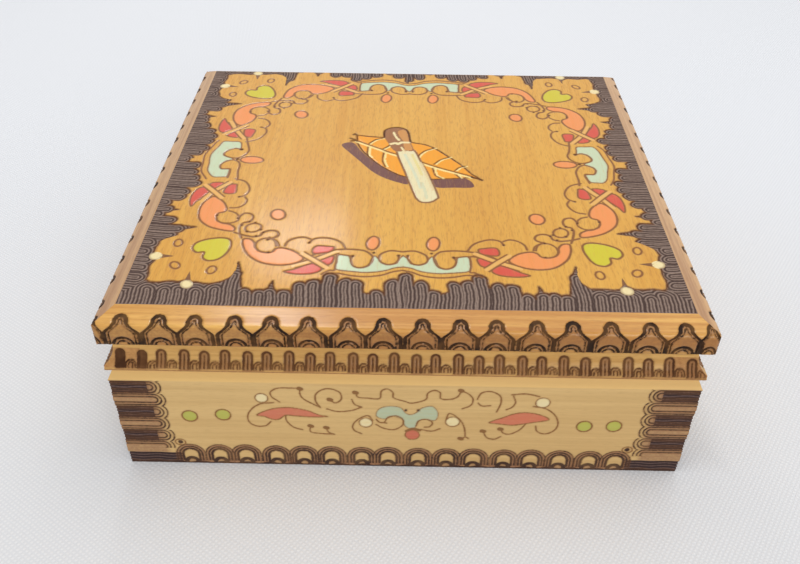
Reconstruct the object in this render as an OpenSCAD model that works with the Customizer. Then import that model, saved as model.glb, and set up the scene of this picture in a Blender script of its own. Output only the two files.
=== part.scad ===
// Hinged wooden cigarette box with finger-jointed corners and a thick bevelled lid.
// Origin at the middle of the underside, front face towards -Y, up is +Z. Millimetres.

/* [Carcass] */
// Width of the carcass, left to right
box_w = 165; // [120:1:240]
// Depth of the carcass, front to back
box_d = 155; // [110:1:220]
// Thickness of the four boards
wall_t = 10; // [8.5:0.5:13]
// Height of the body, up to the saw cut under the lid
body_h = 39; // [32:1:80]
// Height of one finger in the corner joints
finger_h = 5; // [3:0.5:10]
// How far the bevel below the saw cut reaches in
bevel_in = 2; // [1.5:0.25:2.5]
// How far the bevel below the saw cut reaches down
bevel_h = 4; // [2.5:0.5:8]

/* [Bottom] */
// Thickness of the bottom board
bottom_t = 4; // [3:0.5:6]
// How far the rebate for the bottom board reaches under the boards
rebate_in = 5; // [3.5:0.5:6]
// Radius that the cutter leaves in the corners of the rebate
rebate_r = 4; // [2:0.5:8]
// Gap all round the bottom board
bottom_fit = 0.1; // [0.05:0.05:0.3]

/* [Divider] */
// Thickness of the divider
divider_t = 3; // [2:0.5:6]
// Height of the divider above the bottom board
divider_h = 26; // [12:1:27]
// Depth of the grooves that hold the divider's ends
groove_depth = 1.5; // [1:0.25:2]
// Gap on each side of the divider in its grooves
divider_fit = 0.1; // [0.05:0.05:0.3]

/* [Lid] */
// Height of the lid's frame
frame_h = 9.5; // [9:0.5:16]
// Depth of the cove moulding round the lid's frame
cove_in = 2.8; // [2:0.1:3.5]
// Height of the hollow of the cove
cove_h = 5.2; // [4:0.1:6]
// Height of the square lip below the cove
cove_lip = 1.5; // [0.6:0.1:2]
// Thickness of the top plate
plate_t = 10; // [8:0.5:16]
// How far the top plate reaches past the boards
plate_out = 0.5; // [0.4:0.1:4]
// How far the shallow bevel reaches in over the top plate
slope_in = 6; // [4:0.1:12]
// How far the shallow bevel drops at the top plate's edge
slope_drop = 3.1; // [1:0.1:4]
// Radius of the shoulder between that bevel and the edge
shoulder_r = 1.5; // [0.5:0.1:3]
// Radius under the top plate's edge
plate_edge_r = 1; // [0.5:0.1:2]
// Radius of the top plate's upright corners
plate_corner_r = 1.5; // [0.5:0.25:4]

/* [Hinges] */
// Length of each hinge
hinge_l = 22; // [16:1:40]
// Middle of each hinge, in from the side of the carcass
hinge_from_side = 35; // [25:1:50]
// Thickness of the hinge leaves
leaf_t = 0.8; // [0.6:0.1:1.2]
// Width of a leaf, from the hinge line to its inner edge
leaf_w = 6.8; // [6:0.1:8]
// Outer radius of the hinge knuckles
knuckle_r = 1.5; // [1.2:0.05:1.6]
// Radius of the hinge pin
pin_r = 0.6; // [0.4:0.05:0.8]
// Hinge line, in from the back face
hinge_in = 1.15; // [1.1:0.01:1.4]
// Gap between neighbouring knuckles, and between a leaf and the other's knuckle
knuckle_gap = 0.2; // [0.15:0.05:0.4]
// Gap between the pin and the knuckle that turns on it
pin_fit = 0.05; // [0.03:0.01:0.08]
// Gap round a leaf in its mortise
leaf_fit = 0.1; // [0.05:0.05:0.2]
// Gap between the knuckles and the wood round them
recess_gap = 0.3; // [0.25:0.05:0.5]

/* [Fasteners] */
// Length of the hinge screws
screw_l = 6.5; // [5:0.5:7.5]
// Radius of the hinge screws' shank
screw_r = 0.9; // [0.7:0.05:1.1]
// Radius of the hinge screws' head
screw_head_r = 1.7; // [1.5:0.05:2]
// Length of the nails in the bottom board
nail_l = 12; // [8:1:20]
// Radius of the nails' shank
nail_r = 0.6; // [0.4:0.05:0.8]
// Radius of the nails' head
nail_head_r = 1.3; // [1.1:0.05:1.6]
// Nails along each edge of the bottom board
nails_per_edge = 4; // [2:1:8]

/* [Hidden] */
$fn = 48;
// Gap round a driven nail or screw, and how far its head is sunk
driven_fit = 0.02;
sunk = 0.1;
// How far cutters run past the wood
past = 1;

total_h = body_h + frame_h + plate_t;
plate_z = body_h + frame_h;
rows = ceil(plate_z / finger_h);
cove_r = (cove_in * cove_in + cove_h * cove_h) / (2 * cove_in);
inner_w = box_w - 2 * wall_t;
inner_d = box_d - 2 * wall_t;

hinge_x = box_w / 2 - hinge_from_side;
hinge_y = box_d / 2 - hinge_in;
knuckle_l = (hinge_l - 2 * knuckle_gap) / 3;
recess_r = knuckle_r + recess_gap;
screw_y = hinge_y - (leaf_w + knuckle_r + knuckle_gap) / 2;
screw_from_end = hinge_l / 4;
screw_head_h = screw_head_r - screw_r;
nail_head_h = 0.6;
nail_in = rebate_in / 2;
slot_w = 0.4;
slot_h = 0.4;

// Sides are numbered 0 front, 1 right, 2 back, 3 left; children face -Y with their outer face at y = 0
module on_side(side) {
    reach = side % 2 == 0 ? box_d / 2 : box_w / 2;
    rotate([0, 0, 90 * side]) translate([0, -reach, 0]) children();
}

// Outline w by d with round corners of radius r
module round_rect(w, d, r) {
    square([w - 2 * r, d], center = true);
    square([w, d - 2 * r], center = true);
    for (x = [-1, 1], y = [-1, 1]) {
        translate([x * (w / 2 - r), y * (d / 2 - r)]) circle(r);
    }
}

// Solid whose section is the same all round, mitred at the corners: children(0) across, children(1) along
module mitred() {
    intersection() {
        rotate([90, 0, 0]) linear_extrude(box_d + 20, center = true) children(0);
        rotate([90, 0, 90]) linear_extrude(box_w + 20, center = true) children(1);
    }
}

// Section of the body, span wide, with the bevel below the saw cut
module body_section(span) {
    top = span / 2 - bevel_in;
    polygon([
        [-span / 2, 0], [span / 2, 0], [span / 2, body_h - bevel_h],
        [top, body_h], [-top, body_h], [-span / 2, body_h - bevel_h]
    ]);
}

// Section of the lid's frame, span wide, with the cove on both sides
module frame_section(span) {
    cove_z = body_h + cove_lip + cove_h;
    difference() {
        translate([-span / 2, body_h]) square([span, frame_h]);
        for (side = [-1, 1]) {
            translate([side * (span / 2 - cove_in + cove_r), cove_z]) circle(cove_r);
            translate([side * (span / 2 - cove_in + cove_r), cove_z + frame_h / 2])
                square([2 * cove_r, frame_h], center = true);
        }
    }
}

// Section of the top plate, span wide: a bevel above, a round shoulder, and a round edge below
module plate_section(span) {
    half = span / 2;
    edge_z = total_h - slope_drop;
    slope = atan(slope_drop / slope_in);
    shoulder_z = edge_z + shoulder_r * (tan(slope) - 1 / cos(slope));
    reach = 2 * shoulder_r;
    difference() {
        polygon([
            [-half, plate_z], [half, plate_z], [half, edge_z],
            [half - slope_in, total_h], [slope_in - half, total_h], [-half, edge_z]
        ]);
        for (flip = [0, 1]) mirror([flip, 0, 0]) {
            translate([half - shoulder_r, shoulder_z]) difference() {
                polygon([[0, 0], [reach, 0], [reach, reach], [reach * sin(slope), reach * cos(slope)]]);
                circle(shoulder_r);
            }
            translate([half - plate_edge_r, plate_z + plate_edge_r]) difference() {
                translate([0, -2 * plate_edge_r]) square(2 * plate_edge_r);
                circle(plate_edge_r);
            }
        }
    }
}

module body_form() {
    mitred() {
        body_section(box_w);
        body_section(box_d);
    }
}

module frame_form() {
    mitred() {
        frame_section(box_w);
        frame_section(box_d);
    }
}

// Board from z0 to z1 with finger ends: the rows of the given parity are cut away for its neighbours
module jointed_board(length, z0, z1, cut_parity) {
    difference() {
        translate([-length / 2, 0, z0]) cube([length, wall_t, z1 - z0]);
        for (row = [cut_parity:2:rows], side = [-1, 1]) {
            translate([side * (length - wall_t + past) / 2, wall_t / 2, (row + 0.5) * finger_h])
                cube([wall_t + past, wall_t + 2 * past, finger_h], center = true);
        }
    }
}

// Board of the body on one side of the box, before grooves and mortises
module body_board(side) {
    length = side % 2 == 0 ? box_w : box_d;
    difference() {
        intersection() {
            on_side(side) jointed_board(length, 0, body_h, side % 2);
            body_form();
        }
        bottom_rebate();
        nail_holes();
    }
}

// Rail of the lid's frame on one side of the box, with the same fingers as the board below it
module frame_rail(side) {
    length = side % 2 == 0 ? box_w : box_d;
    intersection() {
        on_side(side) jointed_board(length, body_h, plate_z, side % 2);
        frame_form();
    }
}

module bottom_rebate() {
    translate([0, 0, -past]) linear_extrude(bottom_t + past)
        round_rect(inner_w + 2 * rebate_in, inner_d + 2 * rebate_in, rebate_r);
}

// Children at each nail's place in the bottom board
module at_nails() {
    for (side = [0:3], i = [0:nails_per_edge - 1]) {
        run = side % 2 == 0 ? inner_w : inner_d;
        on_side(side) translate([((i + 0.5) / nails_per_edge - 0.5) * run, wall_t - nail_in, 0])
            children();
    }
}

// Nail seen from its head at z = sunk, driven up, and grown all round by grow
module nail(grow = 0) {
    tip_h = 3 * nail_r;
    translate([0, 0, sunk - (grow > 0 ? past : 0)])
        cylinder(r = nail_head_r + grow, h = nail_head_h + (grow > 0 ? past : 0));
    translate([0, 0, sunk]) {
        cylinder(r = nail_r + grow, h = nail_l - tip_h);
        translate([0, 0, nail_l - tip_h]) cylinder(r1 = nail_r + grow, r2 = 0.1 + grow, h = tip_h + grow);
    }
}

module nail_holes() {
    at_nails() nail(driven_fit);
}

// Children at the middle of each hinge line: -1 is the left hinge, 1 the right one
module at_hinge(side) {
    translate([side * hinge_x, hinge_y, body_h]) children();
}

// Rod along X through the hinge line
module along_hinge(r, length) {
    rotate([0, 90, 0]) cylinder(r = r, h = length, center = true);
}

// Room that a hinge needs in the wood: the leaf's mortise on one side of the saw cut, and the knuckles
module hinge_room(up) {
    room_l = hinge_l + 2 * leaf_fit;
    translate([-room_l / 2, -leaf_w - leaf_fit, up ? -past : -leaf_t])
        cube([room_l, leaf_w + leaf_fit, leaf_t + past]);
    along_hinge(recess_r, hinge_l + 2 * recess_gap);
}

// Screw with its head at the saw cut, pointing down, and grown all round by grow
module screw(grow = 0) {
    tip_h = 2 * screw_r;
    top = sunk - (grow > 0 ? past : 0);
    mirror([0, 0, 1]) {
        translate([0, 0, top]) cylinder(r = screw_head_r + grow, h = sunk - top + 0.1);
        translate([0, 0, sunk + 0.1])
            cylinder(r1 = screw_head_r + grow, r2 = screw_r + grow, h = screw_head_h);
        translate([0, 0, sunk]) cylinder(r = screw_r + grow, h = screw_l - tip_h);
        translate([0, 0, sunk + screw_l - tip_h])
            cylinder(r1 = screw_r + grow, r2 = 0.1 + grow, h = tip_h + grow);
    }
}

// Children at both screws of a hinge leaf, pointing down for the body's leaf and up for the lid's
module at_screws(up) {
    for (x = [-1, 1]) {
        translate([x * screw_from_end, screw_y - hinge_y, 0]) mirror([0, 0, up ? 1 : 0]) children();
    }
}

module slotted_screws(up) {
    for (side = [-1, 1]) {
        at_hinge(side) at_screws(up) difference() {
            screw();
            translate([0, 0, -sunk]) cube([slot_w, 3 * screw_head_r, 2 * slot_h], center = true);
        }
    }
}

// Room in a leaf for the other leaf's knuckles
module knuckle_notches(up) {
    reach = 2 * (knuckle_r + knuckle_gap);
    if (up) {
        for (side = [-1, 1]) {
            translate([side * (knuckle_l + hinge_l) / 2, 0, 0])
                cube([hinge_l, reach, 4 * leaf_t], center = true);
        }
    } else {
        cube([knuckle_l + 2 * knuckle_gap, reach, 4 * leaf_t], center = true);
    }
}

// Hinge leaf: the body's leaf lies below the saw cut and has the two outer knuckles, the lid's leaf
// lies above it and has the middle one
module leaf(up) {
    knuckles = up ? [0] : [-1, 1];
    bore_r = pin_r + (up ? pin_fit : driven_fit);
    difference() {
        union() {
            difference() {
                translate([-hinge_l / 2, -leaf_w, up ? 0 : -leaf_t]) cube([hinge_l, leaf_w, leaf_t]);
                knuckle_notches(up);
            }
            for (i = knuckles) {
                translate([i * (knuckle_l + knuckle_gap), 0, 0]) along_hinge(knuckle_r, knuckle_l);
            }
        }
        along_hinge(bore_r, hinge_l + past);
        at_screws(up) screw(driven_fit);
    }
}

module front_wall() {
    color("burlywood") difference() {
        body_board(0);
        divider_grooves();
    }
}

module back_wall() {
    color("burlywood") difference() {
        body_board(2);
        divider_grooves();
        for (side = [-1, 1]) {
            at_hinge(side) {
                hinge_room(false);
                at_screws(false) screw(driven_fit);
            }
        }
    }
}

module left_wall() {
    color("tan") body_board(3);
}

module right_wall() {
    color("tan") body_board(1);
}

module bottom_board() {
    color("wheat") difference() {
        linear_extrude(bottom_t) round_rect(
            inner_w + 2 * (rebate_in - bottom_fit),
            inner_d + 2 * (rebate_in - bottom_fit),
            rebate_r - bottom_fit
        );
        nail_holes();
    }
}

module bottom_nails() {
    color("silver") at_nails() nail();
}

// Block of the divider's length and height, grown at its ends and sides by grow
module divider_block(grow) {
    length = inner_d + 2 * (groove_depth - divider_fit + grow);
    translate([-divider_t / 2 - grow, -length / 2, bottom_t])
        cube([divider_t + 2 * grow, length, divider_h + grow]);
}

module divider_grooves() {
    divider_block(divider_fit);
}

module compartment_divider() {
    color("wheat") divider_block(0);
}

module lid_front_rail() {
    color("burlywood") frame_rail(0);
}

module lid_back_rail() {
    color("burlywood") difference() {
        frame_rail(2);
        for (side = [-1, 1]) {
            at_hinge(side) {
                hinge_room(true);
                at_screws(true) screw(driven_fit);
            }
        }
    }
}

module lid_left_rail() {
    color("tan") frame_rail(3);
}

module lid_right_rail() {
    color("tan") frame_rail(1);
}

module lid_top_plate() {
    plate_w = box_w + 2 * plate_out;
    plate_d = box_d + 2 * plate_out;
    color("sandybrown") intersection() {
        mitred() {
            plate_section(plate_w);
            plate_section(plate_d);
        }
        translate([0, 0, plate_z - past]) linear_extrude(plate_t + 2 * past)
            round_rect(plate_w, plate_d, plate_corner_r);
    }
}

module left_hinge_body_leaf() {
    color("gold") at_hinge(-1) leaf(false);
}

module right_hinge_body_leaf() {
    color("gold") at_hinge(1) leaf(false);
}

module left_hinge_lid_leaf() {
    color("goldenrod") at_hinge(-1) leaf(true);
}

module right_hinge_lid_leaf() {
    color("goldenrod") at_hinge(1) leaf(true);
}

module left_hinge_pin() {
    color("darkgoldenrod") at_hinge(-1) along_hinge(pin_r, hinge_l);
}

module right_hinge_pin() {
    color("darkgoldenrod") at_hinge(1) along_hinge(pin_r, hinge_l);
}

module hinge_body_screws() {
    color("khaki") slotted_screws(false);
}

module hinge_lid_screws() {
    color("khaki") slotted_screws(true);
}

front_wall();
back_wall();
left_wall();
right_wall();
bottom_board();
bottom_nails();
compartment_divider();
lid_front_rail();
lid_back_rail();
lid_left_rail();
lid_right_rail();
lid_top_plate();
left_hinge_body_leaf();
right_hinge_body_leaf();
left_hinge_lid_leaf();
right_hinge_lid_leaf();
left_hinge_pin();
right_hinge_pin();
hinge_body_screws();
hinge_lid_screws();
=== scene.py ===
"""Looks of a hinged cigarette box: pale hardwood, burned and painted ornament, brass hinges.

Lengths are millimetres inside the functions and metres in the meshes. The ornament is drawn on the
faces as smooth strokes. Each point of a face keeps its distance to the burned lines and to the
painted patches, and the materials turn those distances into crisp lines over wood grain.
"""
import math

import bpy
import numpy as np
from mathutils import Matrix, Vector

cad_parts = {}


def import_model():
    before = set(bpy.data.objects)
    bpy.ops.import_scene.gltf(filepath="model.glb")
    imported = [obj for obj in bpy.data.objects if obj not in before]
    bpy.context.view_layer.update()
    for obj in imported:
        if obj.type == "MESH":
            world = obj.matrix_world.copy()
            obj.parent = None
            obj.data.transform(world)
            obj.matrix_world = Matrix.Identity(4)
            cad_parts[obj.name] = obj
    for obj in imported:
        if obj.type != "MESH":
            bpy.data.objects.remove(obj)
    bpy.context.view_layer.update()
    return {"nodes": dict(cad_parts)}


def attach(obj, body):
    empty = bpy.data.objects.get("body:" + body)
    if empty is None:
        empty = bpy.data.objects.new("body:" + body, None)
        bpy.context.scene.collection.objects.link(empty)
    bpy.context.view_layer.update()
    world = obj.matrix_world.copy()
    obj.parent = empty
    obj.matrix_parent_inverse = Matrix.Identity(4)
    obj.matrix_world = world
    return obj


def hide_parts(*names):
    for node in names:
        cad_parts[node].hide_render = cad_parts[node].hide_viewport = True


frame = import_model()

MM = 0.001
# Distance of the points that no stroke is near, and how far from a stroke its distance is kept
FAR, REACH = 9.0, 1.2
# Spacing of the grids' lines, and the side of the square sheet that a piece's faces are laid out on
STEP, BOARD_SHEET, PLATE_SHEET = 0.3, 172.0, 110.0

# Carcass: half width and depth, board thickness, height of a finger row, saw cut, bevel under it
HALF_X, HALF_Y, BOARD, ROW, CUT, BEVEL_IN, BEVEL_H = 82.5, 77.5, 10.0, 5.0, 39.0, 2.0, 4.0
COVE_IN, COVE_LOW, COVE_HIGH = 2.8, 40.5, 45.7
COVE_R = (COVE_IN**2 + (COVE_HIGH - COVE_LOW) ** 2) / (2 * COVE_IN)
REBATE_IN, REBATE_H, REBATE_R = 5.0, 4.0, 4.0
GROOVE_HALF, GROOVE_TOP, GROOVE_D = 1.6, 30.1, 1.5
# Hinges: axis, half length and edge of the leaf mortises, half length and radius of the recess
HINGE_X, HINGE_Y, HINGE_Z = 47.5, 76.35, 39.0
LEAF_HALF, LEAF_FROM, LEAF_T = 11.1, 69.45, 0.8
KNUCKLE_HALF, KNUCKLE_R = 11.3, 1.8
# Top plate: underside, top, half width and depth, slope, and the radii of its edge and corners
PLATE_Z, TOP_Z, PLATE_X, PLATE_Y, SLOPE_IN, SLOPE_Z = 48.5, 58.5, 83.0, 78.0, 6.0, 55.4
EDGE_R, SHOULDER_R, CORNER_R = 1.0, 1.5, 1.5
# Directions along and out of the front, right, back and left side
ALONG = ((1, 0), (0, 1), (-1, 0), (0, -1))
OUT = ((0, -1), (1, 0), (0, 1), (-1, 0))
UP, DOWN = (0, 0, 1), (0, 0, -1)


def tone(red, green, blue):
    """Linear colour of a screen colour given in 0 to 255."""
    share = np.array([red, green, blue]) / 255.0
    return tuple(np.where(share <= 0.04045, share / 12.92, ((share + 0.055) / 1.055) ** 2.4))


LIME = tone(209, 197, 52)
SALMON = tone(240, 150, 88)
RED = tone(214, 80, 68)
PALE_BLUE = tone(200, 214, 180)
CREAM = tone(240, 222, 170)
LEAF = tone(243, 160, 34)
LEAF_VEIN = tone(250, 225, 150)
MAROON = tone(107, 64, 64)
FILTER_LIGHT = tone(205, 142, 76)
FILTER_DARK = tone(150, 98, 62)
PAPER = tone(234, 222, 178)
SCORCHED = tone(120, 80, 50)


def link(name, data):
    """New object of the mesh, lamp or camera, in the scene."""
    made = bpy.data.objects.new(name, data)
    bpy.context.scene.collection.objects.link(made)
    return made


class Skin:
    """Closed surface sewn from grids and flat faces: corners that fall together become one point."""

    def __init__(self, sheet):
        self.sheet = sheet
        self.corners = []
        self.counts = []
        self.flat = []
        self.finish = []

    def faces(self, corners, out, place, finish, chart=None):
        """Adds faces of equal count, turned so that their summed area vector looks along out.

        The place on the sheet is (across, up, u, v, scale): two axes of the corners, or of their
        chart, shifted to u, v and scaled.
        """
        chart = corners if chart is None else chart
        area = np.cross(corners, np.roll(corners, -1, axis=1)).sum(axis=(0, 1))
        if area @ np.array(out, float) < 0:
            corners, chart = corners[:, ::-1], chart[:, ::-1]
        across, up, u, v = place[:4]
        scale = place[4] if len(place) > 4 else 1.0
        flat = np.stack([chart[..., across], chart[..., up]], -1).reshape(-1, 2)
        self.flat.append(((flat - flat.min(axis=0)) * scale + [u, v]) / self.sheet)
        self.corners.append(corners.reshape(-1, 3))
        self.counts.append(np.full(len(corners), corners.shape[1]))
        self.finish.append(np.full(len(corners), finish))

    def grid(self, p, out, place, finish=0, chart=None):
        """Quads between the neighbouring points of the grid p[i, j]."""
        def quads(a):
            four = np.stack([a[:-1, :-1], a[1:, :-1], a[1:, 1:], a[:-1, 1:]], axis=2)
            return four.reshape(-1, 4, a.shape[2])

        self.faces(quads(p), out, place, finish, None if chart is None else quads(chart))

    def face(self, runs, out, place, finish=1):
        """One flat face round the runs of points; points that repeat the one before are left out."""
        ring = np.concatenate([np.atleast_2d(r) for r in runs])
        keep = np.abs(ring - np.roll(ring, 1, axis=0)).max(axis=1) > 1e-6
        self.faces(ring[keep][None], out, place, finish)

    def piece(self, name, body, nodes, materials, wear):
        """Makes the mesh. wear(at) gives the worn places of the points and their fields."""
        corners = np.concatenate(self.corners)
        key = np.rint(corners * 1000).astype(np.int64) + 200000
        code = (key[:, 0] * 10**6 + key[:, 1]) * 10**6 + key[:, 2]
        _, first, index = np.unique(code, return_index=True, return_inverse=True)
        at = corners[first]
        worn, fields = wear(at)
        counts = np.concatenate(self.counts)
        mesh = bpy.data.meshes.new(name)
        mesh.vertices.add(len(at))
        mesh.vertices.foreach_set("co", (worn * MM).astype(np.float32).ravel())
        mesh.loops.add(len(index))
        mesh.loops.foreach_set("vertex_index", index.astype(np.int32).ravel())
        mesh.polygons.add(len(counts))
        mesh.polygons.foreach_set("loop_start", (np.cumsum(counts) - counts).astype(np.int32))
        mesh.polygons.foreach_set("material_index", np.concatenate(self.finish).astype(np.int32))
        layout = mesh.uv_layers.new(name="OFBake")
        layout.data.foreach_set("uv", np.concatenate(self.flat).astype(np.float32).ravel())
        for field, values in fields.items():
            if values.ndim == 1:
                made = mesh.attributes.new(field, "FLOAT", "POINT")
                made.data.foreach_set("value", values.astype(np.float32))
            else:
                made = mesh.attributes.new(field, "FLOAT_COLOR", "POINT")
                full = np.concatenate([values, np.ones((len(values), 1))], axis=1)
                made.data.foreach_set("color", full.astype(np.float32).ravel())
        mesh.update(calc_edges=True)
        mesh.shade_smooth()
        mesh.set_sharp_from_angle(angle=math.radians(50))
        for material in materials:
            mesh.materials.append(material)
        made = link(name, mesh)
        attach(made, body)
        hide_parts(*nodes)
        return made


def lines(stops, step=STEP):
    """Sorted places from the first stop to the last, through every stop, about one step apart."""
    runs = []
    for low, high in zip(stops[:-1], stops[1:]):
        count = max(1, int(round((high - low) / step)))
        runs.append(np.linspace(low, high, count, endpoint=False))
    return np.concatenate(runs + [[stops[-1]]])


def curve(points, closed=False, steps=6):
    """Smooth path through the points: a Catmull-Rom cubic between each pair."""
    p = np.array(points, float)
    if closed:
        q = np.concatenate([p[-1:], p, p[:2]])
    else:
        q = np.concatenate([2 * p[:1] - p[1:2], p, 2 * p[-1:] - p[-2:-1]])
    t = np.linspace(0, 1, steps, endpoint=False)[:, None, None]
    a, b, c, d = q[:-3], q[1:-2], q[2:-1], q[3:]
    path = 2 * b + (c - a) * t + (2 * a - 5 * b + 4 * c - d) * t**2 + (3 * b - a - 3 * c + d) * t**3
    path = (path / 2).transpose(1, 0, 2).reshape(-1, 2)
    return path if closed else np.concatenate([path, p[-1:]])


def oval(centre, across, up, turn=0.0, count=28):
    """Closed ellipse: half widths across and up, turned by degrees."""
    t = np.linspace(0, 2 * np.pi, count, endpoint=False)
    c, s = math.cos(math.radians(turn)), math.sin(math.radians(turn))
    x, y = across * np.cos(t), up * np.sin(t)
    return np.stack([centre[0] + c * x - s * y, centre[1] + s * x + c * y], axis=1)


def measure(at, path):
    """Distance from each point to the nearest straight step of the path."""
    a, step = path[:-1], path[1:] - path[:-1]
    size = np.maximum((step**2).sum(axis=1), 1e-9)
    along = np.clip(((at[:, None] - a) * step).sum(axis=2) / size, 0, 1)
    off = at[:, None] - a - along[..., None] * step
    return np.sqrt((off**2).sum(axis=2).min(axis=1))


def inside(at, loop):
    """True where a line from the point to the right crosses the loop an odd number of times."""
    x, y = at[:, 0, None], at[:, 1, None]
    x0, y0 = loop.T
    x1, y1 = np.roll(loop, -1, axis=0).T
    rise = np.where(y1 == y0, 1e-9, y1 - y0)
    crossed = ((y0 > y) != (y1 > y)) & (x < x0 + (y - y0) * (x1 - x0) / rise)
    return crossed.sum(axis=1) % 2 == 1


def signed(at, loop):
    """Distance from each point to the closed loop, below 0 inside it."""
    gap = measure(at, np.concatenate([loop, loop[:1]]))
    return np.where(inside(at, loop), -gap, gap)


class Panel:
    """Drawing on one face: fields at the face's points, whose places on it are at[:, (u, v)].

    ink, pen, wash and dark are the distances to deep lines, fine lines, paint and combed ground,
    below 0 inside them. comb is the distance to the comb's lines, brown the share of scorching,
    and on the lid's frame along the cut also of painted seam shade, and tint the colour of the paint.
    """

    def __init__(self, at):
        self.at = at
        self.ink, self.pen, self.wash, self.dark, self.comb = np.full((5, len(at)), FAR)
        self.tint = np.full((len(at), 3), 0.5)
        self.brown = np.zeros(len(at))

    def near(self, path, margin):
        low, high = path.min(axis=0) - margin, path.max(axis=0) + margin
        return np.nonzero(((self.at > low) & (self.at < high)).all(axis=1))[0]

    def burn(self, path, half=0.27, deep=False):
        """Burned line along a path: fine and brown, or deep and dark."""
        path = np.array(path, float)
        here = self.near(path, half + REACH)
        field = self.ink if deep else self.pen
        field[here] = np.minimum(field[here], measure(self.at[here], path) - half)

    def ring(self, loop, half=0.27):
        """Burned line along a closed path."""
        self.burn(np.concatenate([loop, loop[:1]]), half)

    def cover(self, here, gap, colour):
        """Lays paint over what is there where the gap is below 0."""
        taken = (gap < 0) | (gap < self.wash[here])
        self.tint[here[taken]] = colour
        self.wash[here] = np.where(gap < 0, gap, np.minimum(self.wash[here], gap))
        for field in (self.ink, self.pen):
            field[here] = np.maximum(field[here], -gap)

    def paint(self, loop, colour, edge=0.0):
        """Painted patch, with a burned line round it where edge is the line's half width."""
        loop = np.array(loop, float)
        here = self.near(loop, REACH)
        self.cover(here, signed(self.at[here], loop), colour)
        if edge:
            self.ring(loop, edge)

    def line(self, path, colour, half=0.4):
        """Painted line along a path."""
        path = np.array(path, float)
        here = self.near(path, half + REACH)
        self.cover(here, measure(self.at[here], path) - half, colour)

    def dot(self, centre, size=0.6):
        """Dark burned spot."""
        here = self.near(np.array([centre], float), size + REACH)
        gap = np.hypot(*(self.at[here] - centre).T) - size
        self.ink[here] = np.minimum(self.ink[here], gap)

    def fields(self):
        names = ("ink", "pen", "wash", "tint", "dark", "comb", "brown")
        return {name: getattr(self, name) for name in names}

    def lay(self, fields, on):
        """Puts the drawing into the fields of the whole piece, at its points on."""
        for name, values in self.fields().items():
            fields[name][on] = values


# One corner of the lid's top, drawn eight times: places (along the edge, inwards) in mm.
# The loops and spikes of the border are (place, height), the corner edges its outline there.
LOOPS_FRONT = (
    (7, 3.4), (11.3, 3.1), (15.8, 3.3), (20.2, 3), (24.8, 3.4), (29.5, 10.7), (33.4, 2.5), (37, 1.9),
    (40.5, 3), (44, 1.9), (48, 5.9), (52, 6.9), (56, 9.6), (60, 7.9), (63.8, 6.6), (69.3, 3), (73, 7.4),
    (77.2, 10.2),
)
LOOPS_SIDE = (
    (7, 5), (11, 4.8), (15, 4.9), (19, 4), (23, 3.5), (27.2, 9.6), (30.9, 10.3), (34.8, 7.4),
    (38.3, 3.4), (41.2, 4.8), (44.5, 4.3), (48, 7), (51.7, 8.3), (55.6, 10.4), (59.5, 9.5), (63.4, 8.5),
    (67.2, 7.9), (71, 4),
)
SPIKES_FRONT = ((29.4, 14.4), (40.5, 5.6))
SPIKES_SIDE = ((31, 14.2), (40.8, 6.8))
CORNER_FRONT = (
    (7, 4.7), (14.8, 5), (16.8, 6.3), (18.6, 4.7), (24, 4.4), (26.5, 5), (28, 6.6), (28.9, 9),
)
CORNER_SIDE = (
    (8, 5.3), (13, 5.1), (15.2, 5.5), (16.3, 7), (17.6, 4.9), (21, 4.3), (24, 5), (25.6, 6.6),
    (26.8, 9),
)
CRESCENT = (
    (47.9, 16.9), (46.3, 14.7), (42.6, 13.3), (38.6, 13.2), (34.8, 14.4), (31.5, 17.6), (29.8, 21.5),
    (29.3, 25), (30.5, 25.6), (31.8, 25), (32.9, 23.3), (33.3, 21.3), (34.8, 19.4), (37, 18.8),
    (38.6, 19.3), (39.5, 20.9), (41.5, 21.4), (45, 20),
)
PETALS = (
    ((56, 22), (54.5, 22.5), (51, 22.8), (50, 21), (50.6, 19), (53, 19.1), (55.4, 19.9)),
    ((56.5, 17.6), (53.5, 17.2), (52.6, 15.9), (53.5, 14.2), (55, 13.6), (56.3, 14.6)),
    ((49.9, 14.6), (47.9, 13.1), (45.1, 11.4), (42.5, 10.2), (46, 9.3), (50, 9.5), (52.5, 10.5),
     (53.3, 12), (52, 13.5)),
)
HEART = (
    (25.3, 25.3), (26.1, 22.6), (25.2, 18.6), (23.2, 15.6), (20.6, 14.9), (18.7, 16.4), (18.6, 18.9),
)
# Border of the front and back edges, and of the left and right: loops, spikes, corner edge, drop
BORDER = ((LOOPS_FRONT, SPIKES_FRONT, CORNER_FRONT, 1.5), (LOOPS_SIDE, SPIKES_SIDE, CORNER_SIDE, 1.0))
BEADS = (
    ((17, 4), ((16.2, 5.5), (17, 10), (18, 5.5))),
    ((16.2, 5.6), ((15.2, 7.2), (16.6, 11.3), (17.2, 7.2))),
)
CURL = (
    (36.3, 18.9), (34.3, 19.7), (33.4, 21.6), (33.6, 24), (35.3, 25.7), (37.6, 25.6), (39.4, 24.2),
    (40.2, 22.2),
)
LOBES = (
    ((59.3, 21), (57.8, 24.2), (55.4, 26), (52.4, 26.9), (49.6, 26.2), (48.5, 24.5)),
    ((48.5, 26.2), (46.6, 27.1), (44.2, 26.5), (42.4, 24.8), (41.9, 22.4)),
)
SWIRL = (
    (25.5, 36.4), (26.5, 38.4), (27.7, 39.1), (29.2, 38.6), (30, 37.2), (29.8, 35.4), (29, 34.3),
    (27.6, 33.8), (27, 32.3), (27.1, 30.7), (27.8, 28.2), (28.7, 25.9),
)
# The drawn field of the lid: its left, right, front and back edge
FIELD_LEFT, FIELD_RIGHT, FIELD_FRONT, FIELD_BACK = -78.0, 76.0, -68.2, 74.8


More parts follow.
